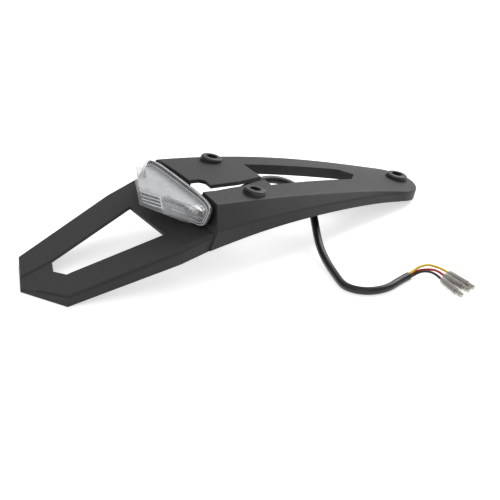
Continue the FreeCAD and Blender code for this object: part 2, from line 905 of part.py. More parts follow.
def build():
    """Every piece by its node's name."""
    pieces = {"fender_extension": fender_extension()}
    for name, place in grommet_places().items():
        pieces[name] = placed(grommet(), place)
    pieces["lamp_housing"] = lamp_housing()
    pieces["lamp_seal"] = lamp_seal()
    pieces["lamp_lens"] = lamp_lens()
    pieces["lamp_reflector"] = lamp_reflector()
    pieces["lamp_board"] = lamp_board()
    pieces["lamp_leds"] = lamp_leds()
    pieces["lamp_screws"] = lamp_screws()
    pieces["lamp_washers"] = lamp_washers()
    pieces["cable_gland"] = cable_gland()
    pieces["cable"] = tube("cable", cable_points(), cable_diameter)
    for colour in TERMINALS:
        pieces["wire_" + colour] = tube("wire_" + colour, wire_points(colour), wire_diameter)
        pieces["terminal_" + colour] = bullet_terminal(colour)
        pieces["sleeve_" + colour] = terminal_sleeve(colour)
    return pieces


os.makedirs("parts", exist_ok=True)
for node, shape in build().items():
    print(node, "solids", len(shape.Solids), "volume %.1f" % shape.Volume, "valid", shape.isValid())
    shape.exportStep("parts/" + node + ".step")
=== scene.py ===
"""Rear fender extension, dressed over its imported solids.

Everything is in metres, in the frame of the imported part: +X to the mounting nose, +Z up,
and the origin on the floor under the middle of the bracket.
"""
import logging
from dataclasses import dataclass
from enum import Enum
from typing import Any, Dict, Optional, Sequence, Tuple

import bpy
from mathutils import Matrix, Vector


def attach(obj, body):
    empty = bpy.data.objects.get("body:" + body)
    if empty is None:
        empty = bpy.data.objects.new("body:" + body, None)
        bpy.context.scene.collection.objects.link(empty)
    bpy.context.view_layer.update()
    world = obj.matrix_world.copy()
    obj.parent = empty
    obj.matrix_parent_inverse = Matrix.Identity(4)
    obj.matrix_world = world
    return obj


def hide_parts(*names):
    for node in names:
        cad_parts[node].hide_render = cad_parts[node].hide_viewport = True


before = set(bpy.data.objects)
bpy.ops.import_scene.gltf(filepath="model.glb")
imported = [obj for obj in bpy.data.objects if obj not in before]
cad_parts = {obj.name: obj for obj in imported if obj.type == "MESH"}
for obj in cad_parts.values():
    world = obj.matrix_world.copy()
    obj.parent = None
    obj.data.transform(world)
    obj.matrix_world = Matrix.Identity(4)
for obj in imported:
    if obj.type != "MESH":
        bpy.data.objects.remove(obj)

LOG = logging.getLogger("fender_extension")
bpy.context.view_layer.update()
BODY = "root"
MM = 0.001

Point = Tuple[float, float, float]
Colour = Tuple[float, float, float, float]


class Slot(Enum):
    """Material slots of the part's record."""

    MOULDING = "moulding"
    GROMMET = "grommet_rubber"
    LAMP_BASE = "lamp_base"
    SEAL = "seal_rubber"
    LENS = "clear_lens"
    REFLECTOR = "reflector"
    BOARD = "circuit_board"
    LED = "light_source"
    SCREW = "screw_steel"
    GLAND = "gland_rubber"
    SHEATH = "cable_sheath"
    YELLOW = "yellow_insulation"
    RED = "red_insulation"
    BLACK = "black_insulation"
    TERMINAL = "terminal_metal"
    SLEEVE = "terminal_sleeve"


class Side(Enum):
    """Sides of the lamp, by the sign of Y."""

    NEAR = -1
    FAR = 1


def grey(level: float) -> Colour:
    """Gives an opaque grey.

    Args:
        level: linear brightness.

    Returns:
        The colour.
    """
    return (level, level, level, 1.0)


class Nodes:
    """A thin builder over one shader or geometry node tree."""

    def __init__(self, tree: bpy.types.NodeTree) -> None:
        """Keeps the tree.

        Args:
            tree: the node tree to build in.
        """
        self.tree = tree

    def add(self, kind: str, inputs: Optional[Dict[Any, Any]] = None, **settings: Any) -> bpy.types.Node:
        """Adds a node.

        Args:
            kind: the node's type.
            inputs: values, or sockets to link, by the input's name or index.
            settings: plain properties of the node.

        Returns:
            The new node.
        """
        node = self.tree.nodes.new(kind)
        for name, value in settings.items():
            setattr(node, name, value)
        for key, value in (inputs or {}).items():
            if isinstance(value, bpy.types.NodeSocket):
                self.tree.links.new(value, node.inputs[key])
            else:
                node.inputs[key].default_value = value
        return node

    def math(self, operation: str, first: Any, second: Any = 0.0) -> bpy.types.NodeSocket:
        """Adds one sum on two values.

        Args:
            operation: the node's operation.
            first: a number or a socket.
            second: a number or a socket.

        Returns:
            The result's socket.
        """
        return self.add("ShaderNodeMath", {0: first, 1: second}, operation=operation).outputs[0]

    def span(self, value: bpy.types.NodeSocket, low: Any, high: Any) -> bpy.types.NodeSocket:
        """Stretches a value of 0 to 1 over another range.

        Args:
            value: the socket to stretch.
            low: what 0 becomes.
            high: what 1 becomes.

        Returns:
            The stretched value's socket.
        """
        return self.add("ShaderNodeMapRange", {"Value": value, "To Min": low, "To Max": high}).outputs[0]


def sockets(tree: bpy.types.NodeTree, inputs: Dict[str, float], outputs: Sequence[str]) -> None:
    """Declares a shader group's plain number sockets.

    Args:
        tree: the group.
        inputs: each input's default, by name.
        outputs: the outputs' names.
    """
    for name, value in inputs.items():
        tree.interface.new_socket(name, in_out="INPUT", socket_type="NodeSocketFloat").default_value = value
    for name in outputs:
        tree.interface.new_socket(name, in_out="OUTPUT", socket_type="NodeSocketFloat")


class Effects:
    """Shader groups that several finishes share. They give masks and heights only."""

    fine_ratio = 2.1
    fine_share = 0.5
    grain_detail = 3.0
    patch_detail = 4.0
    patch_middle = 0.5
    # How far a face must turn up before the dust and painted sky light start, and the noise's detail.
    dust_and_sky_facing = 0.55
    dust_and_sky_detail = 5.0

    def __init__(self) -> None:
        """Builds each group once."""
        self.grain = self._grain()
        self.patches = self._patches()
        self.dust_and_sky_group = self._dust_and_sky_group()

    def _grain(self) -> bpy.types.NodeTree:
        """Builds the fine pebbled surface of a spark-eroded mould.

        Returns:
            The group, with a height and a mask.
        """
        tree = bpy.data.node_groups.new("moulded_grain", "ShaderNodeTree")
        sockets(tree, {"Scale": 1800.0, "Pebble": 0.6}, ("Height", "Mask"))
        nodes = Nodes(tree)
        given = nodes.add("NodeGroupInput")
        place = nodes.add("ShaderNodeTexCoord").outputs["Object"]
        cells = nodes.add("ShaderNodeTexVoronoi", {"Vector": place, "Scale": given.outputs["Scale"]})
        cells.feature = "SMOOTH_F1"
        fine = nodes.math("MULTIPLY", given.outputs["Scale"], self.fine_ratio)
        noise = nodes.add("ShaderNodeTexNoise", {
            "Vector": place, "Scale": fine, "Detail": self.grain_detail,
        })
        pebbles = nodes.math("MULTIPLY", cells.outputs["Distance"], given.outputs["Pebble"])
        height = nodes.math("ADD", pebbles, nodes.math("MULTIPLY", noise.outputs["Fac"], self.fine_share))
        nodes.add("NodeGroupOutput", {"Height": height, "Mask": noise.outputs["Fac"]})
        return tree

    def _patches(self) -> bpy.types.NodeTree:
        """Builds the wide, faint change of tone along a moulding or a cord.

        Returns:
            The group, with a mask.
        """
        tree = bpy.data.node_groups.new("wide_patches", "ShaderNodeTree")
        sockets(tree, {"Scale": 25.0, "Sharpness": 1.6}, ("Mask",))
        nodes = Nodes(tree)
        given = nodes.add("NodeGroupInput")
        place = nodes.add("ShaderNodeTexCoord").outputs["Object"]
        noise = nodes.add("ShaderNodeTexNoise", {
            "Vector": place, "Scale": given.outputs["Scale"], "Detail": self.patch_detail,
        })
        centred = nodes.math("SUBTRACT", noise.outputs["Fac"], self.patch_middle)
        wide = nodes.math("MULTIPLY", centred, given.outputs["Sharpness"])
        mask = nodes.add("ShaderNodeClamp", {"Value": nodes.math("ADD", wide, self.patch_middle)})
        nodes.add("NodeGroupOutput", {"Mask": mask.outputs[0]})
        return tree

    def _dust_and_sky_group(self) -> bpy.types.NodeTree:
        """Builds the thin bloom of dust on faces that look up, which also paints sky light on them: the
        more a face turns up, the lighter it gets.

        Returns:
            The group, with a mask.
        """
        tree = bpy.data.node_groups.new("dust_and_painted_sky_light", "ShaderNodeTree")
        sockets(tree, {"Amount": 0.3, "Scale": 400.0}, ("Mask",))
        nodes = Nodes(tree)
        given = nodes.add("NodeGroupInput")
        normal = nodes.add("ShaderNodeNewGeometry").outputs["Normal"]
        up = nodes.add("ShaderNodeSeparateXYZ", {0: normal}).outputs["Z"]
        facing = nodes.add("ShaderNodeMapRange", {
            "Value": up, "From Min": self.dust_and_sky_facing, "From Max": 1.0,
        })
        place = nodes.add("ShaderNodeTexCoord").outputs["Object"]
        noise = nodes.add("ShaderNodeTexNoise", {
            "Vector": place, "Scale": given.outputs["Scale"], "Detail": self.dust_and_sky_detail,
        })
        speck_and_sky_light = nodes.math("MULTIPLY", facing.outputs[0], noise.outputs["Fac"])
        nodes.add("NodeGroupOutput", {"Mask": nodes.math("MULTIPLY", speck_and_sky_light, given.outputs["Amount"])})
        return tree


EFFECTS = Effects()
# Grey that faces looking up are lightened towards: dust, and painted sky light.
DUST_AND_SKY_TONE = grey(0.4)
MIX_LOW = 6
MIX_HIGH = 7
MIX_COLOUR = 2


class Finish:
    """Common start of every finish: a material with one Principled shader."""

    name: str

    def start(self) -> Tuple[bpy.types.Material, Nodes, bpy.types.Node]:
        """Makes the empty material.

        Returns:
            The material, its node builder and its Principled shader.
        """
        material = bpy.data.materials.new(self.name)
        material.use_nodes = True
        return material, Nodes(material.node_tree), material.node_tree.nodes["Principled BSDF"]

    def build(self) -> bpy.types.Material:
        """Makes the material, which each kind of finish does in its own way."""
        raise NotImplementedError

    @staticmethod
    def group(nodes: Nodes, tree: bpy.types.NodeTree, **values: float) -> bpy.types.Node:
        """Places a shared effect.

        Args:
            nodes: the material's builder.
            tree: the effect.
            values: the effect's inputs.

        Returns:
            The group's node.
        """
        node = nodes.add("ShaderNodeGroup", node_tree=tree)
        for name, value in values.items():
            node.inputs[name].default_value = value
        return node

    @staticmethod
    def blend(nodes: Nodes, mask: bpy.types.NodeSocket, low: Any, high: Any) -> bpy.types.NodeSocket:
        """Mixes two colours by a mask.

        Args:
            nodes: the material's builder.
            mask: the mixing factor.
            low: the colour, or its socket, where the mask is 0.
            high: the colour where the mask is 1.

        Returns:
            The mixed colour's socket.
        """
        mix = nodes.add("ShaderNodeMix", data_type="RGBA")
        nodes.tree.links.new(mask, mix.inputs["Factor"])
        for key, value in ((MIX_LOW, low), (MIX_HIGH, high)):
            if isinstance(value, bpy.types.NodeSocket):
                nodes.tree.links.new(value, mix.inputs[key])
            else:
                mix.inputs[key].default_value = value
        return mix.outputs[MIX_COLOUR]


@dataclass(frozen=True)
class MouldedFinish(Finish):
    """Opaque moulded plastic or rubber, with grain, faint patches and a bloom of dust that also paints sky
    light on faces that look up.
    """

    name: str
    dark: Colour
    light: Colour
    roughness: Tuple[float, float]
    grain_scale: float
    grain_depth: float
    dust_and_sky_light: float = 0.0
    patch_scale: float = 25.0
    specular: float = 0.5
    edge: float = 0.0
    edge_samples: int = 4
    bump_strength: float = 0.6

    def build(self) -> bpy.types.Material:
        """Makes the material.

        Returns:
            The finished material.
        """
        material, nodes, shader = self.start()
        grain = self.group(nodes, EFFECTS.grain, Scale=self.grain_scale)
        patches = self.group(nodes, EFFECTS.patches, Scale=self.patch_scale)
        tone = self.blend(nodes, patches.outputs["Mask"], self.dark, self.light)
        # Dust and painted sky light: faces that look up are lightened towards a grey.
        if self.dust_and_sky_light > 0:
            dust_and_sky_light = self.group(nodes, EFFECTS.dust_and_sky_group, Amount=self.dust_and_sky_light)
            tone = self.blend(nodes, dust_and_sky_light.outputs["Mask"], tone, DUST_AND_SKY_TONE)
        nodes.tree.links.new(tone, shader.inputs["Base Color"])
        rough = nodes.span(grain.outputs["Mask"], *self.roughness)
        nodes.tree.links.new(rough, shader.inputs["Roughness"])
        shader.inputs["Specular IOR Level"].default_value = self.specular
        bump = nodes.add("ShaderNodeBump", {"Height": grain.outputs["Height"]})
        bump.inputs["Strength"].default_value = self.bump_strength
        bump.inputs["Distance"].default_value = self.grain_depth
        if self.edge > 0:
            soft = nodes.add("ShaderNodeBevel", {"Radius": self.edge}, samples=self.edge_samples)
            nodes.tree.links.new(soft.outputs[0], bump.inputs["Normal"])
        nodes.tree.links.new(bump.outputs[0], shader.inputs["Normal"])
        return material


@dataclass(frozen=True)
class ClearFinish(Finish):
    """See-through plastic: clear when faced, brighter where it turns away."""

    name: str
    tint: Colour
    facing_alpha: float
    edge_alpha: float
    roughness: Tuple[float, float]
    patch_scale: float = 90.0
    whiteness: float = 0.5
    turn_blend: float = 0.35
    bending: float = 1.49
    coat: float = 0.6
    coat_roughness: float = 0.04

    def build(self) -> bpy.types.Material:
        """Makes the material.

        Returns:
            The finished material.
        """
        material, nodes, shader = self.start()
        patches = self.group(nodes, EFFECTS.patches, Scale=self.patch_scale)
        whiter = tuple(self.whiteness + (1 - self.whiteness) * c for c in self.tint)
        tone = self.blend(nodes, patches.outputs["Mask"], self.tint, whiter)
        nodes.tree.links.new(tone, shader.inputs["Base Color"])
        rough = nodes.span(patches.outputs["Mask"], *self.roughness)
        nodes.tree.links.new(rough, shader.inputs["Roughness"])
        turned = nodes.add("ShaderNodeLayerWeight", {"Blend": self.turn_blend}).outputs["Facing"]
        alpha = nodes.span(turned, self.facing_alpha, self.edge_alpha)
        nodes.tree.links.new(alpha, shader.inputs["Alpha"])
        shader.inputs["IOR"].default_value = self.bending
        shader.inputs["Coat Weight"].default_value = self.coat
        shader.inputs["Coat Roughness"].default_value = self.coat_roughness
        return material


@dataclass(frozen=True)
class MetalFinish(Finish):
    """Plated or metallised surface with faint streaks."""

    name: str
    dark: Colour
    light: Colour
    roughness: Tuple[float, float]
    streak_scale: float
    streak_sharpness: float = 2.4
    grain_ratio: float = 4.0
    bump_strength: float = 0.25
    bump_depth: float = 0.00004

    def build(self) -> bpy.types.Material:
        """Makes the material.

        Returns:
            The finished material.
        """
        material, nodes, shader = self.start()
        patches = self.group(
            nodes, EFFECTS.patches, Scale=self.streak_scale, Sharpness=self.streak_sharpness,
        )
        grain = self.group(nodes, EFFECTS.grain, Scale=self.grain_ratio * self.streak_scale)
        tone = self.blend(nodes, patches.outputs["Mask"], self.dark, self.light)
        nodes.tree.links.new(tone, shader.inputs["Base Color"])
        rough = nodes.span(grain.outputs["Mask"], *self.roughness)
        nodes.tree.links.new(rough, shader.inputs["Roughness"])
        shader.inputs["Metallic"].default_value = 1.0
        bump = nodes.add("ShaderNodeBump", {"Height": grain.outputs["Height"]})
        bump.inputs["Strength"].default_value = self.bump_strength
        bump.inputs["Distance"].default_value = self.bump_depth
        nodes.tree.links.new(bump.outputs[0], shader.inputs["Normal"])
        return material


FINISHES: Dict[Slot, Finish] = {
    Slot.MOULDING: MouldedFinish(
        "moulded_black",
        dark=(0.017, 0.017, 0.018, 1),
        light=(0.026, 0.026, 0.027, 1),
        roughness=(0.45, 0.65),
        grain_scale=1500.0,
        grain_depth=0.00012,
        dust_and_sky_light=0.06,
        specular=0.4,
        edge=0.0011,
    ),
    Slot.GROMMET: MouldedFinish(
        "grommet_black",
        dark=(0.012, 0.012, 0.013, 1),
        light=(0.02, 0.02, 0.021, 1),
        roughness=(0.3, 0.5),
        grain_scale=2600.0,
        grain_depth=0.00004,
        dust_and_sky_light=0.1,
        edge=0.0005,
    ),
    Slot.LAMP_BASE: MouldedFinish(
        "lamp_base_black",
        dark=(0.008, 0.008, 0.008, 1),
        light=(0.014, 0.014, 0.014, 1),
        roughness=(0.35, 0.5),
        grain_scale=2200.0,
        grain_depth=0.00004,
    ),
    Slot.SEAL: MouldedFinish(
        "seal_black",
        dark=(0.012, 0.012, 0.012, 1),
        light=(0.018, 0.018, 0.018, 1),
        roughness=(0.6, 0.8),
        grain_scale=2600.0,
        grain_depth=0.00004,
    ),
    Slot.LENS: ClearFinish(
        "lens_clear",
        tint=(0.58, 0.6, 0.62, 1),
        facing_alpha=0.08,
        edge_alpha=0.5,
        roughness=(0.02, 0.06),
    ),
    Slot.REFLECTOR: MetalFinish(
        "reflector_bright",
        dark=grey(0.82),
        light=grey(0.94),
        roughness=(0.2, 0.36),
        streak_scale=120.0,
    ),
    Slot.BOARD: MouldedFinish(
        "board_pale",
        dark=(0.42, 0.43, 0.44, 1),
        light=(0.55, 0.56, 0.57, 1),
        roughness=(0.35, 0.5),
        grain_scale=1500.0,
        grain_depth=0.00003,
    ),
    Slot.LED: ClearFinish(
        "led_resin",
        tint=(0.95, 0.95, 0.91, 1),
        facing_alpha=0.35,
        edge_alpha=0.9,
        roughness=(0.02, 0.08),
    ),
    Slot.SCREW: MetalFinish(
        "screw_zinc",
        dark=grey(0.42),
        light=grey(0.62),
        roughness=(0.25, 0.4),
        streak_scale=300.0,
    ),
    Slot.GLAND: MouldedFinish(
        "gland_black",
        dark=(0.01, 0.01, 0.01, 1),
        light=(0.016, 0.016, 0.016, 1),
        roughness=(0.5, 0.7),
        grain_scale=2400.0,
        grain_depth=0.00005,
    ),
    Slot.SHEATH: MouldedFinish(
        "sheath_black",
        dark=(0.006, 0.006, 0.007, 1),
        light=(0.011, 0.011, 0.012, 1),
        roughness=(0.26, 0.42),
        grain_scale=3000.0,
        grain_depth=0.00002,
        patch_scale=60.0,
    ),
    Slot.YELLOW: MouldedFinish(
        "wire_yellow",
        dark=(0.72, 0.46, 0.01, 1),
        light=(0.86, 0.58, 0.02, 1),
        roughness=(0.28, 0.4),
        grain_scale=5000.0,
        grain_depth=0.00001,
        patch_scale=150.0,
    ),
    Slot.RED: MouldedFinish(
        "wire_red",
        dark=(0.42, 0.012, 0.01, 1),
        light=(0.56, 0.02, 0.015, 1),
        roughness=(0.28, 0.4),
        grain_scale=5000.0,
        grain_depth=0.00001,
        patch_scale=150.0,
    ),
    Slot.BLACK: MouldedFinish(
        "wire_black",
        dark=(0.008, 0.008, 0.008, 1),
        light=(0.014, 0.014, 0.014, 1),
        roughness=(0.28, 0.4),
        grain_scale=5000.0,
        grain_depth=0.00001,
        patch_scale=150.0,
    ),
    Slot.TERMINAL: MetalFinish(
        "terminal_plated",
        dark=(0.36, 0.34, 0.3, 1),
        light=(0.58, 0.55, 0.5, 1),
        roughness=(0.22, 0.38),
        streak_scale=260.0,
    ),
    Slot.SLEEVE: ClearFinish(
        "sleeve_milky",
        tint=(0.3, 0.28, 0.24, 1),
        facing_alpha=0.55,
        edge_alpha=0.9,
        roughness=(0.2, 0.34),
    ),
}
PHOSPHOR = MouldedFinish(
    "led_phosphor",
    dark=(0.78, 0.66, 0.16, 1),
    light=(0.86, 0.75, 0.24, 1),
    roughness=(0.4, 0.55),
    grain_scale=4000.0,
    grain_depth=0.00001,
    patch_scale=300.0,
)
# Pale, denser clear finish of the thin tubes on the lens edges: painted highlight for their glints.
LENS_GLINT = ClearFinish(
    "lens_painted_glint",
    tint=(0.86, 0.87, 0.88, 1),
    facing_alpha=0.55,
    edge_alpha=0.9,
    roughness=(0.03, 0.08),
)
LENS_OPTIC = ClearFinish(
    "lens_optic",
    tint=(0.92, 0.93, 0.94, 1),
    facing_alpha=0.06,
    edge_alpha=0.9,
    roughness=(0.02, 0.05),
)


class Materials:
    """Each finish's material, made when it is first asked for."""

    def __init__(self) -> None:
        """Starts with none made."""
        self.made: Dict[Finish, bpy.types.Material] = {}

    def of_finish(self, finish: Finish) -> bpy.types.Material:
        """Gives a finish's material.

        Args:
            finish: the finish.

        Returns:
            Its material.
        """
        if finish not in self.made:
            self.made[finish] = finish.build()
        return self.made[finish]

    def of_slot(self, slot: Slot) -> bpy.types.Material:
        """Gives a slot's material.

        Args:
            slot: the record's slot.

        Returns:
            Its material.
        """
        return self.of_finish(FINISHES[slot])


MATERIALS = Materials()


def dress_node(node: str, slot: Slot) -> None:
    """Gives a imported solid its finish.

    Args:
        node: the solid's name.
        slot: its material slot.
    """
    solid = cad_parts[node]
    solid.data.materials.clear()
    solid.data.materials.append(MATERIALS.of_slot(slot))
    LOG.info("solid %s: %s", node, slot.value)


def add_piece(name: str, data: Any, slot: Slot) -> bpy.types.Object:
    """Adds a piece that belongs to the object.

    Args:
        name: the piece's name.
        data: its mesh or curve.
        slot: its material slot.

    Returns:
        The new object.
    """
    piece = bpy.data.objects.new(name, data)
    bpy.context.scene.collection.objects.link(piece)
    if not data.materials:
        data.materials.append(MATERIALS.of_slot(slot))
    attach(piece, BODY)
    LOG.info("piece %s: %s", name, slot.value)
    return piece


@dataclass(frozen=True)
class CordSizes:
    """One cord: its name, its size and its route, in millimetres."""

    name: str
    diameter: float
    length: float
    route: Sequence[Point]


class Cord:
    """A round cord on one smooth line along its route."""

    round_steps = 6
    line_order = 3
    line_steps = 12

    def __init__(self, sizes: CordSizes, slot: Slot) -> None:
        """Keeps the cord's facts.

        Args:
            sizes: the cord's size and route.
            slot: its material slot.
        """
        self.sizes = sizes
        self.slot = slot

    def build(self) -> bpy.types.Object:
        """Lays the cord and hides the solid that it stands for.

        Returns:
            The cord.
        """
        curve = bpy.data.curves.new(self.sizes.name + "_line", "CURVE")
        curve.dimensions = "3D"
        curve.bevel_depth = self.sizes.diameter * MM / 2
        curve.bevel_resolution = self.round_steps
        curve.use_fill_caps = True
        spline = curve.splines.new("NURBS")
        spline.points.add(len(self.sizes.route) - 1)
        for point, (x, y, z) in zip(spline.points, self.sizes.route):
            point.co = (x * MM, y * MM, z * MM, 1.0)
        spline.order_u = self.line_order
        spline.use_endpoint_u = True
        spline.resolution_u = self.line_steps
        spline.use_smooth = True
        piece = add_piece(self.sizes.name + "_cord", curve, self.slot)
        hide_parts(self.sizes.name)
        return piece

    def declare(self, piece: bpy.types.Object, far_end: str, carried: Sequence[bpy.types.Object]) -> None:
        """Does nothing: the cord's facts are not stated.

        Args:
            piece: the laid cord. Not used.
            far_end: what its far end is. Not used.
            carried: the pieces on it. Not used.
        """


CABLE = CordSizes("cable", diameter=6.0, length=275.0, route=(
    (-25.107, -11.5, 42.307), (-17.018, -11.5, 38.362), (0.0, -8.6, 37.6), (13.0, -4.0, 38.0),
    (25.5, 0.8, 38.8), (38.5, 3.6, 39.2), (51.0, 2.6, 36.8), (61.5, -3.0, 32.2), (66.4, -13.5, 25.6),
    (65.0, -26.0, 18.8), (59.8, -38.5, 13.4), (54.0, -51.5, 9.2), (49.0, -65.5, 5.8), (44.7, -81.5, 3.8),
    (40.8, -99.0, 3.0), (37.4, -114.0, 3.0), (39.6, -123.4, 3.0), (45.6, -130.8, 3.0), (54.2, -134.8, 3.0),
    (65.0, -134.8, 3.0), (77.5, -129.4, 3.0), (86.5, -126.6, 3.0),
))
WIRES: Dict[Slot, CordSizes] = {
    Slot.YELLOW: CordSizes("wire_yellow", diameter=1.9, length=36.8, route=(
        (86.411, -126.314, 4.5), (89.466, -125.363, 4.5), (98.0, -124.1, 6.9), (105.0, -125.0, 6.9),
        (110.3, -127.9, 4.9), (113.8, -131.1, 3.2), (115.104, -134.014, 2.4), (115.4, -137.2, 2.4),
    )),
    Slot.RED: CordSizes("wire_red", diameter=1.9, length=32.5, route=(
        (86.144, -125.454, 2.05), (89.199, -124.504, 2.05), (94.2, -124.1, 3.5), (99.6, -125.4, 4.3),
        (104.5, -127.9, 4.4), (108.3, -131.2, 3.9), (110.004, -135.614, 2.4), (110.3, -138.8, 2.4),
    )),
    Slot.BLACK: CordSizes("wire_black", diameter=1.9, length=30.5, route=(
        (86.931, -127.985, 2.5), (89.986, -127.034, 2.5), (95.2, -126.9, 3.9), (100.2, -128.3, 4.2),
        (103.8, -131.6, 3.7), (105.3, -135.9, 2.9), (105.367, -140.204, 2.4), (105.2, -143.4, 2.4),
    )),
}
WIRE_COLOURS = ("yellow", "red", "black")


class Lead:
    """The lamp's lead: sheath, wires, terminals and their sleeves."""

    def build(self) -> None:
        """Lays the cords."""
        sheath = Cord(CABLE, Slot.SHEATH)
        cable = sheath.build()
        wires = [Cord(sizes, slot) for slot, sizes in WIRES.items()]
        laid = [wire.build() for wire in wires]
        for wire, piece, colour in zip(wires, laid, WIRE_COLOURS):
            carried = [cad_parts["terminal_" + colour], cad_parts["sleeve_" + colour]]
            wire.declare(piece, "connector", carried)
        sheath.declare(cable, "bare", [])

    def dress(self) -> None:
        """Gives the terminals, sleeves and gland their finishes."""
        for colour in WIRE_COLOURS:
            dress_node("terminal_" + colour, Slot.TERMINAL)
            dress_node("sleeve_" + colour, Slot.SLEEVE)
        dress_node("cable_gland", Slot.GLAND)


class GridShape(Enum):
    """Small shapes that stand in rows inside the lamp."""

    PILLOW = "pillow"
    CUP = "cup"
    DIE = "die"


PILLOW_SEGMENTS = 16
PILLOW_RINGS = 8
CUP_SIDES = 20
CUP_FOOT = 0.55
GLINT_STEPS = 160
GLINT_SIDES = 10


def geometry_tree(name: str, counts: Sequence[str], sizes: Sequence[str]) -> bpy.types.NodeTree:
    """Starts a geometry node tree with named inputs, a finish and one output.

    Args:
        name: the tree's name.
        counts: the whole-number inputs.
        sizes: the other number inputs.

    Returns:
        The tree, with no nodes yet.
    """
    tree = bpy.data.node_groups.new(name, "GeometryNodeTree")
    kinds = {count: "NodeSocketInt" for count in counts}
    kinds.update({size: "NodeSocketFloat" for size in sizes})
    kinds["Finish"] = "NodeSocketMaterial"
    for socket, kind in kinds.items():
        tree.interface.new_socket(socket, in_out="INPUT", socket_type=kind)
    tree.interface.new_socket("Geometry", in_out="OUTPUT", socket_type="NodeSocketGeometry")
    return tree


def grid_tree(shape: GridShape) -> bpy.types.NodeTree:
    """Builds the node tree that repeats one small shape over a flat grid.

    Args:
        shape: what stands at each place of the grid.

    Returns:
        The geometry node tree.
    """
    tree = geometry_tree(
        "grid_of_" + shape.value + "s",
        counts=("Columns", "Rows"),
        sizes=("Column Pitch", "Row Pitch", "Radius", "Rise"),
    )
    nodes = Nodes(tree)
    given = nodes.add("NodeGroupInput").outputs
    wide = nodes.math("MULTIPLY", nodes.math("SUBTRACT", given["Columns"], 1.0), given["Column Pitch"])
    tall = nodes.math("MULTIPLY", nodes.math("SUBTRACT", given["Rows"], 1.0), given["Row Pitch"])
    grid = nodes.add("GeometryNodeMeshGrid", {
        "Size X": wide, "Size Y": tall, "Vertices X": given["Columns"], "Vertices Y": given["Rows"],
    })
    if shape is GridShape.PILLOW:
        single = nodes.add("GeometryNodeMeshUVSphere", {
            "Segments": PILLOW_SEGMENTS, "Rings": PILLOW_RINGS, "Radius": 1.0,
        })
    elif shape is GridShape.CUP:
        single = nodes.add("GeometryNodeMeshCone", {
            "Vertices": CUP_SIDES, "Radius Top": 1.0, "Radius Bottom": CUP_FOOT, "Depth": 1.0,
        }, fill_type="NONE")
    else:
        single = nodes.add("GeometryNodeMeshCube", {"Size": (2.0, 2.0, 1.0)})
    size = nodes.add("ShaderNodeCombineXYZ", {0: given["Radius"], 1: given["Radius"], 2: given["Rise"]})
    placed = nodes.add("GeometryNodeInstanceOnPoints", {
        "Points": grid.outputs["Mesh"], "Instance": single.outputs["Mesh"], "Scale": size.outputs[0],
    })
    real = nodes.add("GeometryNodeRealizeInstances", {0: placed.outputs[0]})
    smooth = nodes.add("GeometryNodeSetShadeSmooth", {0: real.outputs[0], 2: shape is not GridShape.DIE})
    painted = nodes.add("GeometryNodeSetMaterial", {0: smooth.outputs[0], "Material": given["Finish"]})
    nodes.add("NodeGroupOutput", {0: painted.outputs[0]})
    return tree


def glint_line_tree() -> bpy.types.NodeTree:
    """Builds the node tree that runs a thin round tube along the lamp's rounded outline, a painted
    highlight for the glint on the lens edges.

    Returns:
        The geometry node tree.
    """
    tree = geometry_tree(
        "outline_painted_glint",
        counts=(),
        sizes=("Half Height", "Half Length", "Squareness", "Radius"),
    )
    nodes = Nodes(tree)
    given = nodes.add("NodeGroupInput").outputs
    ring = nodes.add("GeometryNodeCurvePrimitiveCircle", {"Resolution": GLINT_STEPS, "Radius": 1.0})
    place = nodes.add("ShaderNodeSeparateXYZ", {0: nodes.add("GeometryNodeInputPosition").outputs[0]})
    power = nodes.math("DIVIDE", 2.0, given["Squareness"])
    squared = []
    for axis, half in (("X", "Half Height"), ("Y", "Half Length")):
        value = place.outputs[axis]
        grown = nodes.math("POWER", nodes.math("ABSOLUTE", value), power)
        signed = nodes.math("MULTIPLY", grown, nodes.math("SIGN", value))
        squared.append(nodes.math("MULTIPLY", signed, given[half]))
    spot = nodes.add("ShaderNodeCombineXYZ", {0: squared[0], 1: squared[1]})
    line = nodes.add("GeometryNodeSetPosition", {0: ring.outputs[0], "Position": spot.outputs[0]})
    section = nodes.add("GeometryNodeCurvePrimitiveCircle", {
        "Resolution": GLINT_SIDES, "Radius": given["Radius"],
    })
    glint_line = nodes.add("GeometryNodeCurveToMesh", {0: line.outputs[0], 1: section.outputs[0]})
    smooth = nodes.add("GeometryNodeSetShadeSmooth", {0: glint_line.outputs[0]})
    real = nodes.add("GeometryNodeRealizeInstances", {0: smooth.outputs[0]})
    painted = nodes.add("GeometryNodeSetMaterial", {0: real.outputs[0], "Material": given["Finish"]})
    nodes.add("NodeGroupOutput", {0: painted.outputs[0]})
    return tree


def evaluated(name: str, tree: bpy.types.NodeTree, values: Dict[str, Any]) -> bpy.types.Mesh:
    """Turns a geometry node tree into a plain mesh.

    Args:
        name: the mesh's name.
        tree: the tree, with named inputs.
        values: the inputs' values by name.

    Returns:
        The mesh.
    """
    carrier = bpy.data.objects.new(name + "_nodes", bpy.data.meshes.new(name + "_nodes"))
    bpy.context.scene.collection.objects.link(carrier)
    modifier = carrier.modifiers.new("layout", "NODES")
    modifier.node_group = tree
    for item in tree.interface.items_tree:
        if item.in_out == "INPUT":
            modifier[item.identifier] = values[item.name]
    shown = carrier.evaluated_get(bpy.context.evaluated_depsgraph_get())
    mesh = bpy.data.meshes.new_from_object(shown)
    mesh.name = name
    carrier.modifiers.remove(modifier)
    bpy.data.objects.remove(carrier)
    return mesh


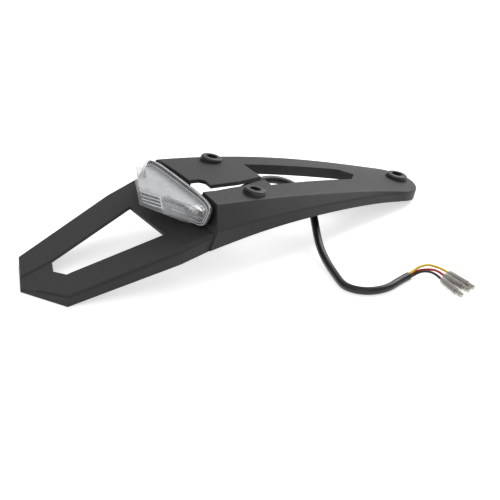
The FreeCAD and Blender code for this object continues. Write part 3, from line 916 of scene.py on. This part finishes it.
@dataclass(frozen=True)
class LampSizes:
    """Places on the lamp, in millimetres, as the solids have them."""

    base: Point = (-33.198, 0.0, 46.252)
    up: Point = (0.438371, 0.0, 0.898794)
    half_length: float = 48.5
    half_height: float = 10.8
    squareness: float = 4.4
    flange_width: float = 2.6
    flange_face: float = 6.5
    cover_shift: float = -0.6
    # Radius of the thin tubes that paint the glints on the lens edges.
    glint_radius: float = 0.32
    prow: Point = (-68.6, 0.0, 45.8)
    facet_normal: Point = (-0.8937, -0.4179, -0.1633)
    lens_wall: float = 1.8
    optic_columns: int = 8
    optic_rows: int = 4
    optic_pitch: float = 2.7
    optic_radius: float = 1.3
    optic_rise: float = 0.55
    optic_start: float = 20.0
    optic_lift: float = 3.0
    led_first: float = 20.0
    led_pitch: float = 6.0
    led_row_gap: float = 4.7
    led_columns: int = 3
    led_rows: int = 2
    board_face: float = 3.4
    cup_radius: float = 1.5
    cup_rise: float = 1.2
    die_radius: float = 0.55
    die_rise: float = 0.4
    die_lift: float = 0.35


class Lamp:
    """The rear lamp: lens, reflector, board, light sources and their fixings."""

    def __init__(self, sizes: LampSizes) -> None:
        """Keeps the lamp's sizes.

        Args:
            sizes: its places and pitches.
        """
        self.sizes = sizes
        self.grids = {shape: grid_tree(shape) for shape in GridShape}
        self.glint_line = glint_line_tree()

    def wall_frame(self, height: float, across: float = 0.0, climb: float = 0.0) -> Matrix:
        """Gives a frame on the rear wall: X up it, Y across and Z outwards.

        Args:
            height: how far out of the wall, in millimetres.
            across: how far along the lamp.
            climb: how far up the wall.

        Returns:
            The frame, in metres.
        """
        up = Vector(self.sizes.up).normalized()
        across_axis = Vector((0, 1, 0))
        out = up.cross(across_axis)
        origin = Vector(self.sizes.base) + out * height + across_axis * across + up * climb
        return Matrix.Translation(origin * MM) @ Matrix((up, across_axis, out)).transposed().to_4x4()

    def facet_frame(self, side: Side) -> Matrix:
        """Gives the frame of one facet's inner face: X away from the prow and Z outwards.

        Y runs up the near facet and down the far one.

        Args:
            side: which facet.

        Returns:
            The frame, in metres.
        """
        x, y, z = self.sizes.facet_normal
        normal = Vector((x, -y * side.value, z)).normalized()
        along = Vector((0, 0, 1)).cross(normal).normalized() * -side.value
        up = normal.cross(along)
        origin = (Vector(self.sizes.prow) - normal * self.sizes.lens_wall) * MM
        turn = Matrix((along, up, normal)).transposed().to_4x4()
        return Matrix.Translation(origin) @ turn

    def optics(self, side: Side) -> bpy.types.Object:
        """Lays the pillow optics inside one facet, in front of the light sources.

        Args:
            side: which facet.

        Returns:
            The piece.
        """
        sizes = self.sizes
        name = "lens_optics_" + side.name.lower()
        mesh = evaluated(name, self.grids[GridShape.PILLOW], {
            "Columns": sizes.optic_columns,
            "Rows": sizes.optic_rows,
            "Column Pitch": sizes.optic_pitch * MM,
            "Row Pitch": sizes.optic_pitch * MM,
            "Radius": sizes.optic_radius * MM,
            "Rise": sizes.optic_rise * MM,
            "Finish": MATERIALS.of_finish(LENS_OPTIC),
        })
        middle = sizes.optic_start + sizes.optic_pitch * (sizes.optic_columns - 1) / 2
        lift = -side.value * sizes.optic_lift
        shift = Matrix.Translation(Vector((middle, lift, -sizes.optic_rise)) * MM)
        mesh.transform(self.facet_frame(side) @ shift)
        return add_piece(name, mesh, Slot.LENS)

    def lights(self, side: Side) -> None:
        """Puts the bright cup and the yellow die inside each light source of one side.

        Args:
            side: which end of the lamp.
        """
        sizes = self.sizes
        middle = side.value * (sizes.led_first + sizes.led_pitch * (sizes.led_columns - 1) / 2)
        grid = {
            "Columns": sizes.led_rows, "Rows": sizes.led_columns,
            "Column Pitch": sizes.led_row_gap * MM, "Row Pitch": sizes.led_pitch * MM,
        }
        cups = dict(grid, Radius=sizes.cup_radius * MM, Rise=sizes.cup_rise * MM)
        cups["Finish"] = MATERIALS.of_slot(Slot.REFLECTOR)
        dies = dict(grid, Radius=sizes.die_radius * MM, Rise=sizes.die_rise * MM)
        dies["Finish"] = MATERIALS.of_finish(PHOSPHOR)
        for shape, values, lift, slot in (
            (GridShape.CUP, cups, 0.0, Slot.REFLECTOR), (GridShape.DIE, dies, sizes.die_lift, Slot.LED),
        ):
            name = "led_" + shape.value + "s_" + side.name.lower()
            mesh = evaluated(name, self.grids[shape], values)
            mesh.transform(self.wall_frame(sizes.board_face + lift, middle))
            add_piece(name, mesh, slot)

    def glint_lines(self) -> None:
        """Runs a bright thin tube along the flange's edge and along the cover's foot, painted highlights
        for the glints on these edges.
        """
        sizes = self.sizes
        for name, inset, climb in (
            ("lens_flange_painted_glint", sizes.glint_radius, 0.0),
            ("lens_foot_painted_glint", sizes.flange_width, sizes.cover_shift),
        ):
            mesh = evaluated(name, self.glint_line, {
                "Half Height": (sizes.half_height - inset) * MM,
                "Half Length": (sizes.half_length - inset) * MM,
                "Squareness": sizes.squareness,
                "Radius": sizes.glint_radius * MM,
                "Finish": MATERIALS.of_finish(LENS_GLINT),
            })
            mesh.transform(self.wall_frame(sizes.flange_face, 0.0, climb))
            add_piece(name, mesh, Slot.LENS)

    def dress(self) -> None:
        """Gives the lamp's solids their finishes."""
        for node, slot in (
            ("lamp_housing", Slot.LAMP_BASE), ("lamp_seal", Slot.SEAL), ("lamp_lens", Slot.LENS),
            ("lamp_reflector", Slot.REFLECTOR), ("lamp_board", Slot.BOARD), ("lamp_leds", Slot.LED),
            ("lamp_screws", Slot.SCREW), ("lamp_washers", Slot.SCREW),
        ):
            dress_node(node, slot)

    def build(self) -> None:
        """Adds the lamp's own pieces."""
        for side in Side:
            self.optics(side)
            self.lights(side)
        self.glint_lines()


class Bracket:
    """The moulding and its three mounting grommets."""

    def dress(self) -> None:
        """Gives the moulding and the grommets their finishes."""
        dress_node("fender_extension", Slot.MOULDING)
        for place in ("left", "right", "front"):
            dress_node("grommet_" + place, Slot.GROMMET)


@dataclass(frozen=True)
class StudioSizes:
    """Camera, floor and lights, in metres and watts. The lens and sensor are in millimetres."""

    camera_place: Point = (-1.3384, -2.3263, 1.3424)
    camera_right: Point = (0.862639, -0.505820, 0.0)
    camera_up: Point = (0.227438, 0.387879, 0.893209)
    lens: float = 288.0
    sensor: float = 36.0
    clip_end: float = 50.0
    floor_size: float = 6.0
    floor_drop: float = 0.0004
    floor_tones: Tuple[float, float] = (0.9, 0.92)
    floor_patch_scale: float = 3.0
    floor_roughness: float = 0.9
    floor_glow: float = 0.6
    key_place: Point = (1.3, 0.5, 1.2)
    key_power: float = 23.0
    key_size: float = 1.3
    fill_place: Point = (-1.2, -1.0, 1.4)
    fill_power: float = 6.0
    fill_size: float = 1.6
    sky: float = 0.52


class Studio:
    """The plain pale floor, the soft lights and the camera."""

    def __init__(self, sizes: StudioSizes) -> None:
        """Keeps the studio's sizes.

        Args:
            sizes: camera, floor and lights.
        """
        self.sizes = sizes

    def build(self) -> None:
        """Sets up everything round the object."""
        self.floor()
        self.sky()
        self.light("key_light", self.sizes.key_place, self.sizes.key_power, self.sizes.key_size)
        self.light("fill_light", self.sizes.fill_place, self.sizes.fill_power, self.sizes.fill_size)
        self.camera()
        bpy.context.scene.view_settings.view_transform = "Standard"

    def floor(self) -> None:
        """Lays the white floor."""
        half = self.sizes.floor_size / 2
        mesh = bpy.data.meshes.new("floor")
        corners = [(-half, -half, 0), (half, -half, 0), (half, half, 0), (-half, half, 0)]
        mesh.from_pydata(corners, [], [(0, 1, 2, 3)])
        material = bpy.data.materials.new("floor_white")
        material.use_nodes = True
        nodes = Nodes(material.node_tree)
        shader = material.node_tree.nodes["Principled BSDF"]
        place = nodes.add("ShaderNodeTexCoord").outputs["Object"]
        noise = nodes.add("ShaderNodeTexNoise", {"Vector": place, "Scale": self.sizes.floor_patch_scale})
        low, high = self.sizes.floor_tones
        tone = Finish.blend(nodes, noise.outputs["Fac"], grey(low), grey(high))
        nodes.tree.links.new(tone, shader.inputs["Base Color"])
        shader.inputs["Roughness"].default_value = self.sizes.floor_roughness
        shader.inputs["Specular IOR Level"].default_value = 0.0
        shader.inputs["Emission Color"].default_value = grey(1.0)
        path = nodes.add("ShaderNodeLightPath").outputs
        seen = nodes.math("MAXIMUM", path["Is Camera Ray"], path["Is Glossy Ray"])
        seen = nodes.math("MAXIMUM", seen, path["Is Transmission Ray"])
        glow = nodes.math("MULTIPLY", seen, self.sizes.floor_glow)
        nodes.tree.links.new(glow, shader.inputs["Emission Strength"])
        mesh.materials.append(material)
        floor = bpy.data.objects.new("floor", mesh)
        bpy.context.scene.collection.objects.link(floor)
        floor.location.z = -self.sizes.floor_drop

    def sky(self) -> None:
        """Fills the room with white for the camera and softer light for the rest."""
        world = bpy.data.worlds.new("room")
        bpy.context.scene.world = world
        world.use_nodes = True
        tree = world.node_tree
        tree.nodes.clear()
        nodes = Nodes(tree)
        path = nodes.add("ShaderNodeLightPath").outputs["Is Camera Ray"]
        soft = nodes.add("ShaderNodeBackground", {"Color": grey(1.0), "Strength": self.sizes.sky})
        plain = nodes.add("ShaderNodeBackground", {"Color": grey(1.0), "Strength": 1.0})
        mix = nodes.add("ShaderNodeMixShader", {0: path, 1: soft.outputs[0], 2: plain.outputs[0]})
        nodes.add("ShaderNodeOutputWorld", {"Surface": mix.outputs[0]})

    @staticmethod
    def light(name: str, place: Point, power: float, size: float) -> None:
        """Hangs one soft square light that faces the object.

        Args:
            name: its name.
            place: where it hangs.
            power: its power in watts.
            size: its side.
        """
        data = bpy.data.lights.new(name, "AREA")
        data.energy = power
        data.size = size
        lamp = bpy.data.objects.new(name, data)
        lamp.location = place
        lamp.rotation_euler = Vector(place).to_track_quat("Z", "Y").to_euler()
        bpy.context.scene.collection.objects.link(lamp)

    def camera(self) -> None:
        """Sets the camera at the photograph's view."""
        data = bpy.data.cameras.new("camera")
        data.lens = self.sizes.lens
        data.sensor_width = self.sizes.sensor
        data.sensor_fit = "HORIZONTAL"
        data.clip_end = self.sizes.clip_end
        data.dof.use_dof = False
        right = Vector(self.sizes.camera_right).normalized()
        up = Vector(self.sizes.camera_up).normalized()
        turn = Matrix((right, up, right.cross(up))).transposed().to_4x4()
        camera = bpy.data.objects.new("camera", data)
        camera.matrix_world = Matrix.Translation(self.sizes.camera_place) @ turn
        bpy.context.scene.collection.objects.link(camera)
        bpy.context.scene.camera = camera


def main() -> None:
    """Dresses the part and sets up its studio."""
    logging.basicConfig(level=logging.INFO, format="%(name)s: %(message)s")
    bracket = Bracket()
    bracket.dress()
    lamp = Lamp(LampSizes())
    lamp.dress()
    lamp.build()
    lead = Lead()
    lead.dress()
    lead.build()
    Studio(StudioSizes()).build()


if __name__ == "__main__":
    main()
